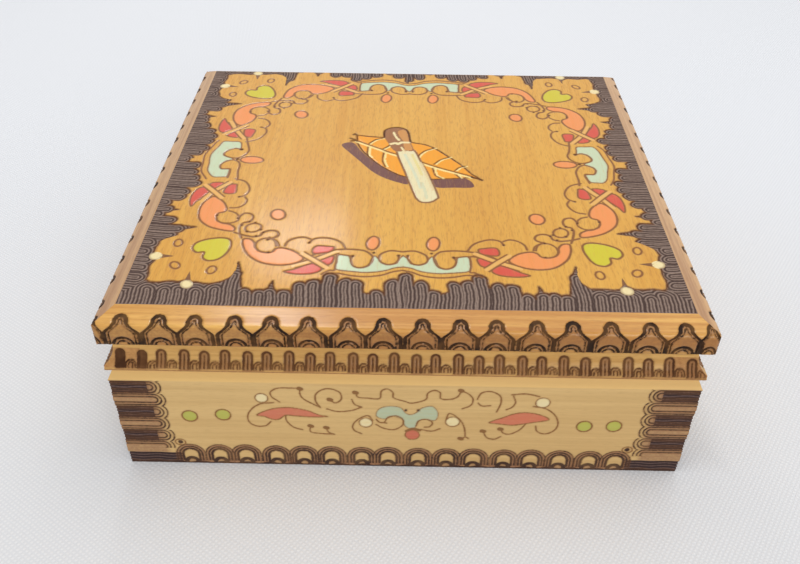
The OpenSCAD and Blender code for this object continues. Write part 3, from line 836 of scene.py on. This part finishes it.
def finger_board(name, side, low, high, inset, node, drawing, materials, body):
    """Board on one side of the box from height low to high, its rows of fingers reaching the corners.

    The outer face and the fingers' end grain are fine grids over (along, up); every other face is
    one flat face whose ring takes over the points of the grids that it meets. A place is (s, n, z):
    along the side, out of the middle of the box, and up.
    """
    long_side, is_body, is_back = side % 2 == 0, low == 0, side == 2
    n_out, s_out = (HALF_Y, HALF_X) if long_side else (HALF_X, HALF_Y)
    n_in, s_in = n_out - BOARD, s_out - BOARD
    # Axes of the chart: along the side, and across it
    axis, cross = (0, 1) if long_side else (1, 0)

    def world(s, n, z):
        s, n, z = np.broadcast_arrays(s, n, z)
        x, y = (s * a + n * o for a, o in zip(ALONG[side], OUT[side]))
        return np.stack([x, y, z], axis=-1).astype(float)

    def outer(s, z):
        n = n_out - inset(z)
        return hinge_cut(s, z, n, not is_body) if is_back else n + 0 * s

    def reaches(z):
        """True where the row of fingers at height z is the board's own."""
        return (int(z // ROW) % 2 == 1) == long_side

    used = {}

    def room(row, width=10.5):
        """Next free place in a row of the sheet."""
        used[row] = used.get(row, 2.0) + width
        return used[row] - width

    stops = [-s_in, s_in]
    rows = sorted({low, high} | {r * ROW for r in range(1, 10) if low < r * ROW < high})
    marks = set(rows) | {z for z in (COVE_LOW, COVE_HIGH) if low < z < high}
    if is_back:
        edges = [HINGE_X + end * half for end in (-1, 1) for half in (KNUCKLE_HALF, LEAF_HALF)]
        stops += [m * (e + d) for e in edges for d in (-0.02, 0.02) for m in (-1, 1)]
        marks |= {HINGE_Z + (-1 if is_body else 1) * t for t in (LEAF_T, LEAF_T + 0.02)}
    along, heights = lines(sorted(stops)), lines(sorted(marks))
    share = lines([0.0, 1.0], STEP / BOARD)
    skin = Skin(BOARD_SHEET)
    outward, inward = world(0, 1, 0), world(0, -1, 0)
    face = world(along[:, None], outer(along[:, None], heights[None]), heights[None])
    skin.grid(face, outward, (axis, 2, 12, 2))
    inner_ends = {1: [], -1: []}
    for za, zb in zip(rows[:-1], rows[1:]):
        zs = heights[(heights >= za - 1e-6) & (heights <= zb + 1e-6)]
        n_edge, s_edge = n_out - inset(zs), s_out - inset(zs)
        for end in (1, -1):
            s, endward = end * s_in, world(end, 0, 0)
            if not reaches((za + zb) / 2):
                foot = [(n_in, za)]
                if za == 0:
                    foot = [(n_in + REBATE_IN, 0.0), (n_in + REBATE_IN, REBATE_H), (n_in, REBATE_H)]
                ring = [world(s, n_edge, zs)[::-1]] + [world(s, n, z) for n, z in foot + [(n_in, zb)]]
                skin.face(ring, endward, (cross, 2, room(91), 91))
                inner_ends[end] += ring[-2:]
                continue
            run = s + end * share[:, None] * (s_edge - s_in)[None]
            place = (axis, 2, 1 if (end > 0) == (side in (1, 2)) else 160, za - low + 2)
            skin.grid(world(run, n_edge[None], zs[None]), outward, place)
            n = n_in + share[:, None] * (n_edge - n_in)[None]
            cap = world(end * s_edge[None], n, zs[None])
            skin.grid(cap, endward, (cross, 2, room(84), 84), 2)
            for z, k, way, row in ((za, 0, DOWN, 98), (zb, -1, UP, 110)):
                if z not in (low, high):
                    ring = [world(run[:, k], n_edge[k], z), world(end * s_edge[k], n[::-1, k], z)]
                    skin.face(ring + [world(s, n_in, z)], way, (0, 1, room(row), row))
            inner_ends[end] += [world(s, n_in, za), cap[0], world(s, n_in, zb)]

    def level(z, within, rest, way, row):
        """Level face at height z: the outer run, the ends of fingers that reach out, and the rest."""
        n_edge, s_edge = n_out - inset(np.array(z)), s_out - inset(np.array(z))
        ring = [world(along, outer(along, np.array(z)), z)]
        if reaches(within):
            s, n = s_in + share * (s_edge - s_in), n_in + share * (n_edge - n_in)
            ring = [world(-s_edge, n, z), world(-s[::-1], n_edge, z)] + ring
            ring += [world(s, n_edge, z), world(s_edge, n[::-1], z)]
        skin.face(ring + rest, way, (axis, cross, 2, row))

    edge = np.array([(-s_in, n_in), (s_in, n_in)], float)
    level(high, high - 0.5, [world(*edge[::-1].T, high)], UP, 122)
    bottom = []
    if is_body:
        far_s, far_n = s_in + REBATE_IN, n_in + REBATE_IN
        step = np.array([0.0, REBATE_H])
        edge = np.array([(-s_in, far_n), (s_in, far_n)])
        notch = [(s_in, 0), (GROOVE_HALF, 0), (GROOVE_HALF, GROOVE_D)]
        notch = np.array(notch + [(-s, d) for s, d in notch[::-1]], float)
        ceiling = [world(notch[:, 0], n_in + notch[:, 1], REBATE_H)] if long_side else []
        if not long_side:
            turn = np.linspace(0, np.pi / 2, 9)
            arc = REBATE_R * np.stack([np.cos(turn), np.sin(turn)], axis=1)
            arc += [far_s - REBATE_R, far_n - REBATE_R]
            arc = np.concatenate([[(far_s, n_in)], arc])
            edge = np.concatenate([arc * [-1, 1], arc[::-1]])
            bottom = [world(-far_s, n_in, step), world(far_s, n_in, step[::-1])]
        for a, b in zip(edge[:-1], edge[1:]):
            run = b - a
            row = 160 if abs(run[0]) > 20 else 154
            place = (cross if abs(run[1]) > abs(run[0]) else axis, 2, room(row, 1.4), row)
            ring = [world(*a, step), world(*b, step[::-1])]
            skin.face(ring, world(run[1], -run[0], 0), place)
        skin.face([world(*edge.T, REBATE_H)] + ceiling, DOWN, (axis, cross, 2, 146))
    level(low, low + 0.5, [world(*edge[::-1].T, low)], DOWN, 134)
    if is_body and long_side:
        tall, deep = np.array([REBATE_H, GROOVE_TOP]), n_in + GROOVE_D
        ends = np.array([-GROOVE_HALF, GROOVE_HALF])
        bottom = [world(ends[0], n_in, tall), world(ends[1], n_in, tall[::-1])]
        for end in (1, -1):
            s = end * GROOVE_HALF
            ring = [world(s, n_in, tall), world(s, deep, tall[::-1])]
            skin.face(ring, world(-end, 0, 0), (cross, 2, 100 + 2 * end, 84))
        ring = [world(ends[0], deep, tall), world(ends[1], deep, tall[::-1])]
        skin.face(ring, inward, (axis, 2, 106, 84))
        ring = [world(ends, n_in, GROOVE_TOP), world(ends[::-1], deep, GROOVE_TOP)]
        skin.face(ring, DOWN, (0, 1, 112, 84))
    left = [np.atleast_2d(p)[::-1] for p in inner_ends[-1][::-1]]
    skin.face(bottom + inner_ends[1] + left, inward, (axis, 2, 2, 43))

    def wear(at):
        worn, fields = at.copy(), Panel(at[:, :2]).fields()
        for face in range(4):
            u, n = turned(face, at[:, 0], at[:, 1])
            reach, half = (HALF_X, HALF_Y) if face % 2 else (HALF_Y, HALF_X)
            on = np.nonzero(np.abs(n - reach + inset(at[:, 2])) < 1e-3)[0]
            if len(on) > 50:
                panel = drawing(u[on], at[on, 2], half, face)
                worn[on, :2] -= relief(panel)[:, None] * OUT[face]
                panel.lay(fields, on)
        return worn, fields

    return skin.piece(name, body, [node], materials, wear)


def relief(panel, deep=0.2):
    """Depth of the burned work: lines are shallow troughs and the dark combing is cut deeper."""
    line = np.maximum(deep * soft(0.12 - panel.ink, 0, 0.4), 0.09 * soft(0.1 - panel.pen, 0, 0.3))
    comb = 0.26 * soft(0.1 - panel.dark, 0, 0.4) * (0.35 + 0.65 * soft(0.25 - panel.comb, 0, 0.5))
    return np.maximum(line, comb)


def plate_section():
    """Section of the plate's edge as (inset, height, way up): bottom round, edge, shoulder, slope."""
    def arc(centre, radius, start, stop, count):
        turn = np.linspace(start, stop, count)
        return np.array(centre) + radius * np.stack([np.cos(turn), np.sin(turn)], axis=1)

    slope = math.atan((TOP_Z - SLOPE_Z) / SLOPE_IN)
    bottom = arc((EDGE_R, PLATE_Z + EDGE_R), EDGE_R, -np.pi / 2, -np.pi, 5)
    high = SLOPE_Z + SHOULDER_R * (math.tan(slope) - 1 / math.cos(slope))
    shoulder = arc((SHOULDER_R, high), SHOULDER_R, np.pi, np.pi / 2 + slope, 6)
    edge = lines([bottom[-1, 1], shoulder[0, 1]])[1:-1]
    edge = np.stack([0 * edge, edge], axis=1)
    rest = np.array([SLOPE_IN, TOP_Z]) - shoulder[-1]
    rest = shoulder[-1] + lines([0.0, 1.0], STEP / math.hypot(*rest))[1:, None] * rest
    path = np.concatenate([bottom, edge, shoulder, rest])
    step = np.hypot(*np.diff(path, axis=0).T)
    return path[:, 0], path[:, 1], np.concatenate([[0.0], np.cumsum(step)])


def plate_quarter(name, right, back, materials):
    """Quarter of the top plate: a grid over the flat (x, y), and the section carried along the edges."""
    inset, height, way_up = plate_section()
    flat_x, flat_y = PLATE_X - SLOPE_IN, PLATE_Y - SLOPE_IN
    xs, ys = lines([0.0, flat_x]), lines([0.0, flat_y])
    sx, sy = (1 if right else -1), (1 if back else -1)
    skin = Skin(PLATE_SHEET)

    def world(x, y, z):
        x, y, z = np.broadcast_arrays(x, y, z)
        return np.stack([sx * x, sy * y, z], axis=-1).astype(float)

    def unrolled(edge):
        """The edge's points with the way up the section in place of the height."""
        up = np.broadcast_to(way_up, edge.shape[:2])
        return np.stack([edge[..., 0], edge[..., 1], up], axis=-1)

    top = world(xs[:, None], ys[None], TOP_Z)
    skin.grid(top, UP, (0, 1, 1, 1))
    long_edge = world(xs[:, None] * (PLATE_X - inset)[None] / flat_x, PLATE_Y - inset[None], height[None])
    skin.grid(long_edge, (0, sy, 0), (0, 2, 1, 76), 2, unrolled(long_edge))
    short_edge = world(PLATE_X - inset[None], ys[:, None] * (PLATE_Y - inset)[None] / flat_y, height[None])
    skin.grid(short_edge, (sx, 0, 0), (1, 2, 1, 93), 3, unrolled(short_edge))
    centre = world(0.0, 0.0, PLATE_Z)
    skin.face([centre, long_edge[:, 0], short_edge[::-1, 0]], DOWN, (0, 1, 86, 1, 0.25))
    skin.face([centre, long_edge[0], top[0, ::-1]], (-sx, 0, 0), (1, 2, 86, 26, 0.25))
    skin.face([centre, short_edge[0], top[::-1, 0]], (0, -sy, 0), (0, 2, 86, 32, 0.25))

    def wear(at):
        x, y, z = at.T
        worn, fields = at.copy(), Panel(at[:, :2]).fields()
        flat = z > TOP_Z - 1e-3
        on = np.nonzero(flat)[0]
        panel = lid_drawing(at[on, :2])
        fade = soft(np.minimum(flat_x - np.abs(x[on]), flat_y - np.abs(y[on])), 0.0, 0.5)
        worn[on, 2] -= relief(panel) * (0.4 + 0.6 * fade)
        panel.lay(fields, on)
        gap_x, gap_y = PLATE_X - np.abs(x), PLATE_Y - np.abs(y)
        rim = ~flat & (np.minimum(gap_x, gap_y) < SLOPE_IN + 0.1)
        for face in (2 if back else 0, 1 if right else 3):
            short = face % 2 == 1
            on = np.nonzero(rim & ((gap_x < gap_y) == short))[0]
            u, w = turned(face, x[on], y[on])[0], np.interp(z[on], height, way_up)
            panel = plate_edge_drawing(u, w, PLATE_Y if short else PLATE_X, face)
            drop = relief(panel, 0.42) * soft(w, 0.2, 1.0)
            worn[on, :2] -= drop[:, None] * OUT[face]
            panel.lay(fields, on)
        lean = np.maximum(np.abs(worn[:, :2]) - [PLATE_X - CORNER_R, PLATE_Y - CORNER_R], 0)
        far = np.maximum(np.hypot(*lean.T), 1e-9)
        pull = np.where((lean.min(axis=1) > 0) & (far > CORNER_R), CORNER_R / far, 1.0)
        worn[:, :2] -= np.sign(worn[:, :2]) * lean * (1 - pull)[:, None]
        return worn, fields

    return skin.piece(name, "lid", ["lid_top_plate"], materials, wear)


class Recipe:
    """Node material under construction."""

    def __init__(self, name):
        self.material = bpy.data.materials.new(name)
        self.material.use_nodes = True
        self.tree = self.material.node_tree
        self.shader = self.tree.nodes["Principled BSDF"]

    def add(self, kind, settings=None, **inputs):
        node = self.tree.nodes.new(kind)
        for key, value in (settings or {}).items():
            setattr(node, key, value)
        for key, value in inputs.items():
            numbered = key[0] == "i" and key[1:].isdigit()
            self.give(node.inputs[int(key[1:])] if numbered else node.inputs[key], value)
        return node

    def give(self, socket, value):
        if isinstance(value, bpy.types.NodeSocket):
            self.tree.links.new(value, socket)
        elif hasattr(value, "__len__") and socket.type == "RGBA":
            socket.default_value = tuple(value)[:3] + (1.0,)
        else:
            socket.default_value = value

    def finish(self, bump, depth, height, **looks):
        """Gives the shader its inputs, the names written with _ for spaces, and the bump."""
        relief = self.add("ShaderNodeBump", None, Strength=bump, Distance=depth, Height=height)
        self.give(self.shader.inputs["Normal"], relief.outputs[0])
        for key, value in looks.items():
            self.give(self.shader.inputs[key.replace("_", " ")], value)
        return self.material

    def math(self, operation, a, b=0.0, clamp=False):
        settings = {"operation": operation, "use_clamp": clamp}
        return self.add("ShaderNodeMath", settings, i0=a, i1=b).outputs[0]

    def sum(self, a, b, share):
        """a plus a share of b."""
        return self.math("ADD", a, self.math("MULTIPLY", b, share))

    def ramp(self, value, low, high, out_low=0.0, out_high=1.0):
        """Smooth step from out_low at low to out_high at high."""
        settings = {"interpolation_type": "SMOOTHSTEP"}
        stops = {"i1": low, "i2": high, "i3": out_low, "i4": out_high}
        return self.add("ShaderNodeMapRange", settings, i0=value, **stops).outputs[0]

    def mix(self, share, a, b, blend="MIX"):
        settings = {"data_type": "RGBA", "blend_type": blend}
        return self.add("ShaderNodeMix", settings, i0=share, i6=a, i7=b).outputs[2]

    def place(self, scale=(1.0, 1.0, 1.0), turn=0.0):
        """Point in the object's metres, turned about Z and stretched."""
        here = self.add("ShaderNodeTexCoord").outputs["Object"]
        node = self.add("ShaderNodeMapping", None, Vector=here, Rotation=(0, 0, turn), Scale=scale)
        return node.outputs[0]

    def noise(self, scale, detail, rough=0.5):
        """Noise with so many lumps to the metre, along each axis or along all."""
        scale = scale if isinstance(scale, tuple) else (scale, scale, scale)
        looks = {"Scale": 1.0, "Detail": detail, "Roughness": rough}
        return self.add("ShaderNodeTexNoise", None, Vector=self.place(scale), **looks).outputs["Fac"]

    def axis(self, number):
        return self.add("ShaderNodeSeparateXYZ", None, i0=self.place()).outputs[number]

    def field(self, name, kind="Fac"):
        return self.add("ShaderNodeAttribute", {"attribute_name": name}).outputs[kind]


def grain(axis, run, cross):
    """Stretch that is small along the grain's axis and large across it."""
    return tuple(run if k == axis else cross for k in range(3))


def wood(name, axis, tones, rough, coat, worked=True, ends=False, ink=tone(62, 42, 32),
         pen=tone(128, 86, 50), ridge=tone(122, 106, 100), groove=tone(66, 52, 52),
         scorch=tone(126, 82, 54), streaky=0.0, rag=0.34, bevel=None, flecked=0.2):
    """Hardwood: broad tone drift, streaks and short flecks along the grain, then the drawn fields.

    tones are the light wood, the deep wood and the flecks. rag is the raggedness of drawn edges,
    and bevel the colour of the planed bevel under the saw cut.
    """
    r = Recipe(name)
    light, deep, fleck = tones
    broad = r.noise(grain(axis, 6.0, 26.0), 4.0, 0.55)
    streak = r.noise(900.0, 4.0, 0.7) if ends else r.noise(grain(axis, 14.0, 700.0), 5.0, 0.6)
    flecks = r.noise(grain(axis, 340.0, 2400.0), 2.0)
    mixed = r.sum(r.math("MULTIPLY", broad, 0.55), streak, 0.45)
    if streaky:
        long = r.noise(grain(axis, 5.0, 190.0), 3.0)
        mixed = r.sum(mixed, r.math("SUBTRACT", long, 0.5), streaky)
    colour = r.mix(r.ramp(mixed, 0.36, 0.62), light, deep)
    colour = r.mix(r.ramp(flecks, 0.48, 0.70, 0.0, flecked), colour, fleck)
    if bevel:
        foot = (CUT - BEVEL_H) * MM
        colour = r.mix(r.ramp(r.axis(2), foot - 0.0001, foot + 0.0003, 0.0, 0.6), colour, bevel)
    height = r.math("MULTIPLY", flecks, -0.35)
    gloss = r.ramp(streak, 0.3, 0.7, rough - 0.05, rough + 0.07)
    if worked:
        wobble = r.noise(1100.0, 3.0, 0.6)
        shift = r.math("MULTIPLY", r.math("SUBTRACT", wobble, 0.5), rag)
        # The brown share is scorching, and on the lid's frame also painted shade along the seam with the
        # body
        brown = r.math("MULTIPLY", r.field("brown"), r.ramp(wobble, 0.25, 0.7, 0.7, 1.05), True)
        colour = r.mix(brown, colour, scorch)
        wash = r.ramp(r.sum(r.field("wash"), shift, 0.6), -0.1, 0.1, 1.0, 0.0)
        uneven = r.ramp(streak, 0.35, 0.7, 0.0, 0.35)
        tint = r.mix(uneven, r.field("tint", "Color"), (0.5, 0.42, 0.3), "SOFT_LIGHT")
        colour = r.mix(r.math("MULTIPLY", wash, r.ramp(flecks, 0.5, 0.72, 0.96, 0.78)), colour, tint)
        dark = r.math("ADD", r.field("dark"), shift)
        combed = r.ramp(r.sum(r.field("comb"), shift, 0.7), -0.14, 0.26)
        ground = r.ramp(dark, -0.12, 0.12, 1.0, 0.0)
        colour = r.mix(r.ramp(dark, 0.0, 0.9, 0.55, 0.0), colour, SCORCHED)
        colour = r.mix(ground, colour, r.mix(combed, groove, ridge))
        fine = r.sum(r.field("pen"), shift, 0.7)
        colour = r.mix(r.ramp(fine, 0.0, 0.5, 0.3, 0.0), colour, tone(150, 102, 58))
        colour = r.mix(r.ramp(fine, -0.13, 0.13, 0.92, 0.0), colour, pen)
        line = r.math("ADD", r.field("ink"), shift)
        colour = r.mix(r.ramp(line, 0.0, 0.55, 0.42, 0.0), colour, tone(128, 84, 48))
        charred = r.ramp(line, -0.13, 0.13, 1.0, 0.0)
        strength = r.ramp(r.noise(240.0, 2.0), 0.3, 0.7, 0.72, 1.0)
        colour = r.mix(r.math("MULTIPLY", charred, strength), colour, ink)
        deepest = r.math("MAXIMUM", charred, ground)
        gloss = r.sum(gloss, deepest, 0.22)
        height = r.sum(height, charred, -0.8)
        coat = r.math("MULTIPLY", r.math("SUBTRACT", 1.0, deepest), coat)
    return r.finish(0.35, 0.00008, height, Base_Color=colour, Roughness=gloss, Coat_Weight=coat,
                    Coat_Roughness=0.16, Specular_IOR_Level=0.12)


def metal(name, base, worn, rough):
    """Rolled metal: soft blotches of tarnish and fine rolling lines along X."""
    r = Recipe(name)
    blotch = r.noise(160.0, 4.0, 0.6)
    rolled = r.noise((60.0, 2600.0, 2600.0), 3.0, 0.6)
    return r.finish(0.2, 0.00005, rolled, Base_Color=r.mix(r.ramp(blotch, 0.4, 0.68), base, worn),
                    Metallic=1.0, Roughness=r.ramp(blotch, 0.35, 0.7, rough, rough + 0.18))


# Light wood, deep wood and flecks of each kind, and the looks of its burned work
HONEY = (tone(225, 170, 76), tone(213, 153, 64), tone(174, 114, 54))
EDGES = ((tone(226, 174, 92), tone(192, 132, 62), tone(150, 94, 46)),
         (tone(208, 162, 108), tone(178, 130, 84), tone(140, 92, 56)))
BLOND = (tone(217, 182, 123), tone(204, 167, 110), tone(160, 118, 70))
BLOND_END = (tone(186, 148, 100), tone(158, 118, 78), tone(120, 84, 56))
FRAME = (tone(217, 173, 104), tone(196, 148, 82), tone(150, 104, 56))
FRAME_END = (tone(200, 150, 92), tone(168, 118, 70), tone(128, 86, 52))
BARE = (tone(222, 194, 146), tone(204, 172, 122), tone(170, 132, 88))
TOP_WORK = {"ink": tone(86, 50, 30), "pen": tone(132, 82, 38), "ridge": tone(150, 128, 114),
            "groove": tone(74, 56, 50), "flecked": 0.36}
EDGE_WORK = {"ink": tone(40, 26, 18), "scorch": tone(134, 88, 52), "streaky": 0.5, "rag": 0.9}
BLOND_WORK = {"ink": tone(70, 50, 42), "ridge": tone(112, 89, 82), "groove": tone(58, 44, 43),
              "scorch": tone(146, 102, 78), "rag": 0.5}
BLOND_FACE = {"pen": tone(134, 92, 52), "bevel": tone(232, 188, 116), "flecked": 0.12}
FRAME_WORK = {"scorch": tone(150, 104, 66), "rag": 0.5}
BROWN = tone(72, 44, 26)

# Woods whose grain runs along X and along Y
top_wood = wood("honey_top", 1, HONEY, 0.36, 0.3, **TOP_WORK)
edge_wood, blond, honey, bare = [], [], [], []
for k in (0, 1):
    edge_wood.append(wood("honey_edge_%d" % k, k, EDGES[k], 0.36, 0.45, **EDGE_WORK))
    blond.append(wood("blond_%d" % k, k, BLOND, 0.42, 0.1, **BLOND_FACE, **BLOND_WORK))
    honey.append(wood("honey_%d" % k, k, FRAME, 0.4, 0.15, ink=tone(92, 58, 33), **FRAME_WORK))
    bare.append(wood("bare_%d" % k, k, BARE, 0.6, 0.0, worked=False))
blond_end = wood("blond_end_grain", 0, BLOND_END, 0.5, 0.05, ends=True, **BLOND_WORK)
honey_end = wood("honey_end_grain", 0, FRAME_END, 0.5, 0.05, ends=True, ink=BROWN, **FRAME_WORK)
brass = metal("stamped_brass", tone(214, 178, 104), tone(166, 122, 62), 0.28)
steel = metal("nail_steel", tone(150, 150, 150), tone(104, 100, 98), 0.38)

for side, where in enumerate(("front", "right", "back", "left")):
    across = side % 2
    finger_board(
        where + "_board", side, 0.0, CUT, body_inset, where + "_wall", body_drawing,
        (blond[across], bare[across], blond_end), "box",
    )
    finger_board(
        where + "_rail", side, CUT, PLATE_Z, frame_inset, "lid_" + where + "_rail", frame_drawing,
        (honey[across], bare[across], honey_end), "lid",
    )
for right in (0, 1):
    for back in (0, 1):
        name = "top_plate_%s_%s" % (("front", "back")[back], ("left", "right")[right])
        plate_quarter(name, right, back, (top_wood, bare[1], *edge_wood))

FINISH = {"bottom_board": bare[0], "compartment_divider": bare[1], "bottom_nails": steel}
FINISH.update({node: brass for node in frame["nodes"] if "hinge" in node})
for node, material in FINISH.items():
    mesh = frame["nodes"][node].data
    mesh.materials.clear()
    mesh.materials.append(material)


def floor():
    """Pale woven cloth: a round sheet of rings, with a faint twill of crossed threads, and painted shade
    that darkens it towards the front.
    """
    radius = np.geomspace(0.05, 7.0, 40)[:, None]
    turn = np.linspace(0, 2 * np.pi, 96, endpoint=False)
    p = np.stack([radius * np.cos(turn), radius * np.sin(turn), 0 * radius * turn], axis=-1)
    index = np.arange(40 * 96).reshape(40, 96)
    after = np.roll(index, -1, axis=1)
    quads = np.stack([index[:-1], index[1:], after[1:], after[:-1]], axis=-1).reshape(-1, 4)
    mesh = bpy.data.meshes.new("floor")
    mesh.from_pydata(p.reshape(-1, 3).tolist(), [], quads.tolist() + [index[0].tolist()])
    made = link("floor", mesh)
    r = Recipe("pale_cloth")
    where, threads = r.place(turn=0.6), []
    for way in ("X", "Y"):
        settings = {"bands_direction": way}
        wave = r.add("ShaderNodeTexWave", settings, Vector=where, Scale=260.0, Distortion=0.6)
        threads.append(wave.outputs["Fac"])
    weave = r.math("MULTIPLY", *threads)
    # Painted shade: the cloth runs darker towards the front and lighter towards the back
    base = r.mix(r.ramp(r.axis(1), -0.19, 0.17), tone(228, 227, 226), tone(237, 238, 240))
    colour = r.mix(r.ramp(weave, 0.0, 0.6, 0.36, 0.0), base, tone(204, 205, 208))
    mesh.materials.append(r.finish(0.4, 0.0002, weave, Base_Color=colour, Roughness=0.9))


def softbox(name, place, size, power):
    """Rectangular lamp aimed at the middle of the box's underside."""
    lamp = bpy.data.lights.new(name, "AREA")
    lamp.shape = "RECTANGLE"
    lamp.size, lamp.size_y = size
    lamp.energy = power
    made = link(name, lamp)
    made.location = Vector(place)
    made.rotation_mode = "QUATERNION"
    made.rotation_quaternion = (-Vector(place)).to_track_quat("-Z", "Y")


def camera():
    """Camera found from the corners of the box in the photograph."""
    turn, rise, roll = (math.radians(a) for a in (0.4662, 38.635, 0.667))
    aim, distance, focal, wide = (-2.228, 0, 9.760), 308.95, 839.52, 800
    out = Vector((math.sin(turn) * math.cos(rise), -math.cos(turn) * math.cos(rise), math.sin(rise)))
    place = Vector(aim) * MM + out * distance * MM
    right = (-out).cross(Vector((0, 0, 1))).normalized()
    up = right.cross(-out)
    x = math.cos(roll) * right + math.sin(roll) * up
    y = -math.sin(roll) * right + math.cos(roll) * up
    lens = bpy.data.cameras.new("camera")
    lens.sensor_width = 36.0
    lens.lens = lens.sensor_width * focal / wide
    lens.clip_start, lens.clip_end = 0.01, 50.0
    made = link("camera", lens)
    made.matrix_world = Matrix.Translation(place) @ Matrix((x, y, out)).transposed().to_4x4()
    bpy.context.scene.camera = made


def room():
    """Air that is pale to the eye, and in gloss and glass, and darker where it lights the box."""
    world = bpy.data.worlds.new("room")
    world.use_nodes = True
    nodes, links = world.node_tree.nodes, world.node_tree.links
    ray = nodes.new("ShaderNodeLightPath")
    seen = nodes.new("ShaderNodeMix")
    seen.data_type = "RGBA"
    seen.inputs[6].default_value = (0.50, 0.51, 0.53, 1.0)
    seen.inputs[7].default_value = (0.83, 0.84, 0.86, 1.0)
    straight = ray.outputs["Is Camera Ray"]
    for kind in ("Is Glossy Ray", "Is Transmission Ray"):
        either = nodes.new("ShaderNodeMath")
        either.operation = "MAXIMUM"
        links.new(straight, either.inputs[0])
        links.new(ray.outputs[kind], either.inputs[1])
        straight = either.outputs[0]
    links.new(straight, seen.inputs[0])
    links.new(seen.outputs[2], nodes["Background"].inputs["Color"])
    bpy.context.scene.world = world


floor()
camera()
softbox("window_glare", (-0.112, 0.468, 0.432), (0.1, 0.055), 0.28)
softbox("window_slope", (-0.254, -0.207, 1.433), (0.36, 0.1), 2.8)
softbox("overhead", (0.35, 0.25, 1.6), (1.4, 1.4), 8.7)
softbox("fill", (0.9, -2.35, 1.15), (1.5, 1.5), 25.5)
room()
bpy.context.scene.view_settings.view_transform = "Standard"
